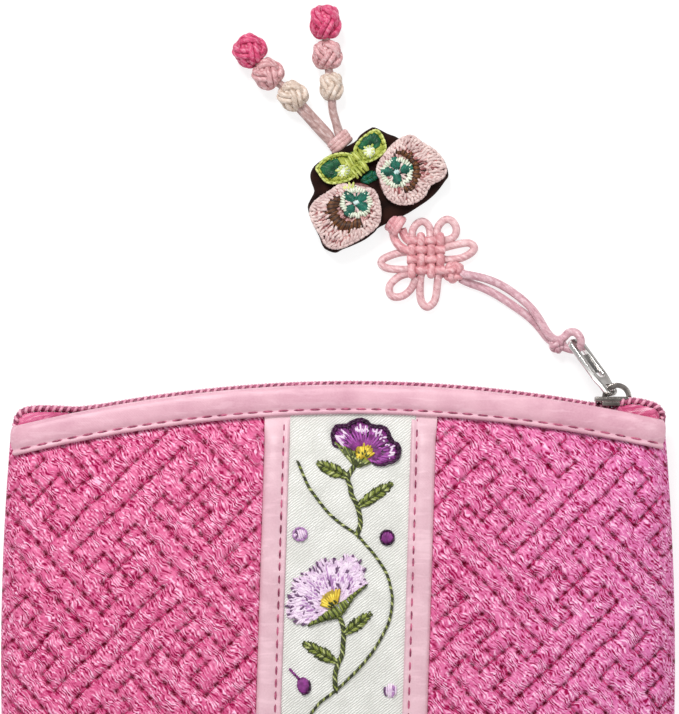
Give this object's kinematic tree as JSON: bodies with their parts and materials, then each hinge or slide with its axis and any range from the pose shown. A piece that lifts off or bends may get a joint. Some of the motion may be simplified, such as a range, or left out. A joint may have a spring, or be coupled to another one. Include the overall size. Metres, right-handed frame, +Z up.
{
  "type": "embroidered coin purse",
  "caption": "Quilted satin zip coin purse lying flat, with an embroidered panel between satin trims and a knotted cord charm with a padded butterfly and bud knots on its pull tab.",
  "frame": {"origin": "middle of the flat face that the purse rests on, at the surface", "axes": "+X along the zip towards its closed end, +Y from the bottom seam to the zip, +Z up from the surface to the embroidered front"},
  "size_m": [0.1216, 0.1588, 0.015],
  "materials": {
    "quilted_satin": "pink satin, quilted in a fret pattern",
    "satin_trim": "light pink satin",
    "white_satin": "white twill satin",
    "zip_tape": "woven tape",
    "zip_coil": "nylon coil",
    "nickel": "polished nickel plate",
    "cord": "satin knotting cord",
    "butterfly_ground": "dark brown cloth",
    "pink_thread": "satin stitch",
    "green_thread": "satin stitch",
    "cream_cord": "satin knotting cord",
    "light_pink_cord": "satin knotting cord",
    "deep_pink_cord": "satin knotting cord"
  },
  "bodies": {
    "root": {"front_quilt_left": "quilted_satin", "front_quilt_right": "quilted_satin", "back_quilt": "quilted_satin", "embroidered_panel": "white_satin", "panel_trim_left": "satin_trim", "panel_trim_right": "satin_trim", "binding_front": "satin_trim", "binding_back": "satin_trim", "zip_chain": "zip_coil", "zip_tape_front": "zip_tape", "zip_tape_back": "zip_tape", "zip_slider": "nickel", "pull_tab": "nickel", "cord_ring": "cord", "cord_ring_knot": "cord", "cord_strand_upper": "cord", "cord_strand_lower": "cord", "flower_lower_knot": "cord", "flower_knot": "cord", "flower_upper_knot": "cord", "butterfly_pad": "butterfly_ground", "butterfly_lower_wing_left": "pink_thread", "butterfly_lower_wing_right": "pink_thread", "butterfly_upper_wing_left": "green_thread", "butterfly_upper_wing_right": "green_thread", "head_knot": "cord", "antenna_stem_left": "cord", "antenna_stem_right": "cord", "bud_left_cream": "cream_cord", "bud_left_light": "light_pink_cord", "bud_left_deep": "deep_pink_cord", "bud_right_cream": "cream_cord", "bud_right_light": "light_pink_cord", "bud_right_deep": "deep_pink_cord"}
  },
  "joints": []
}
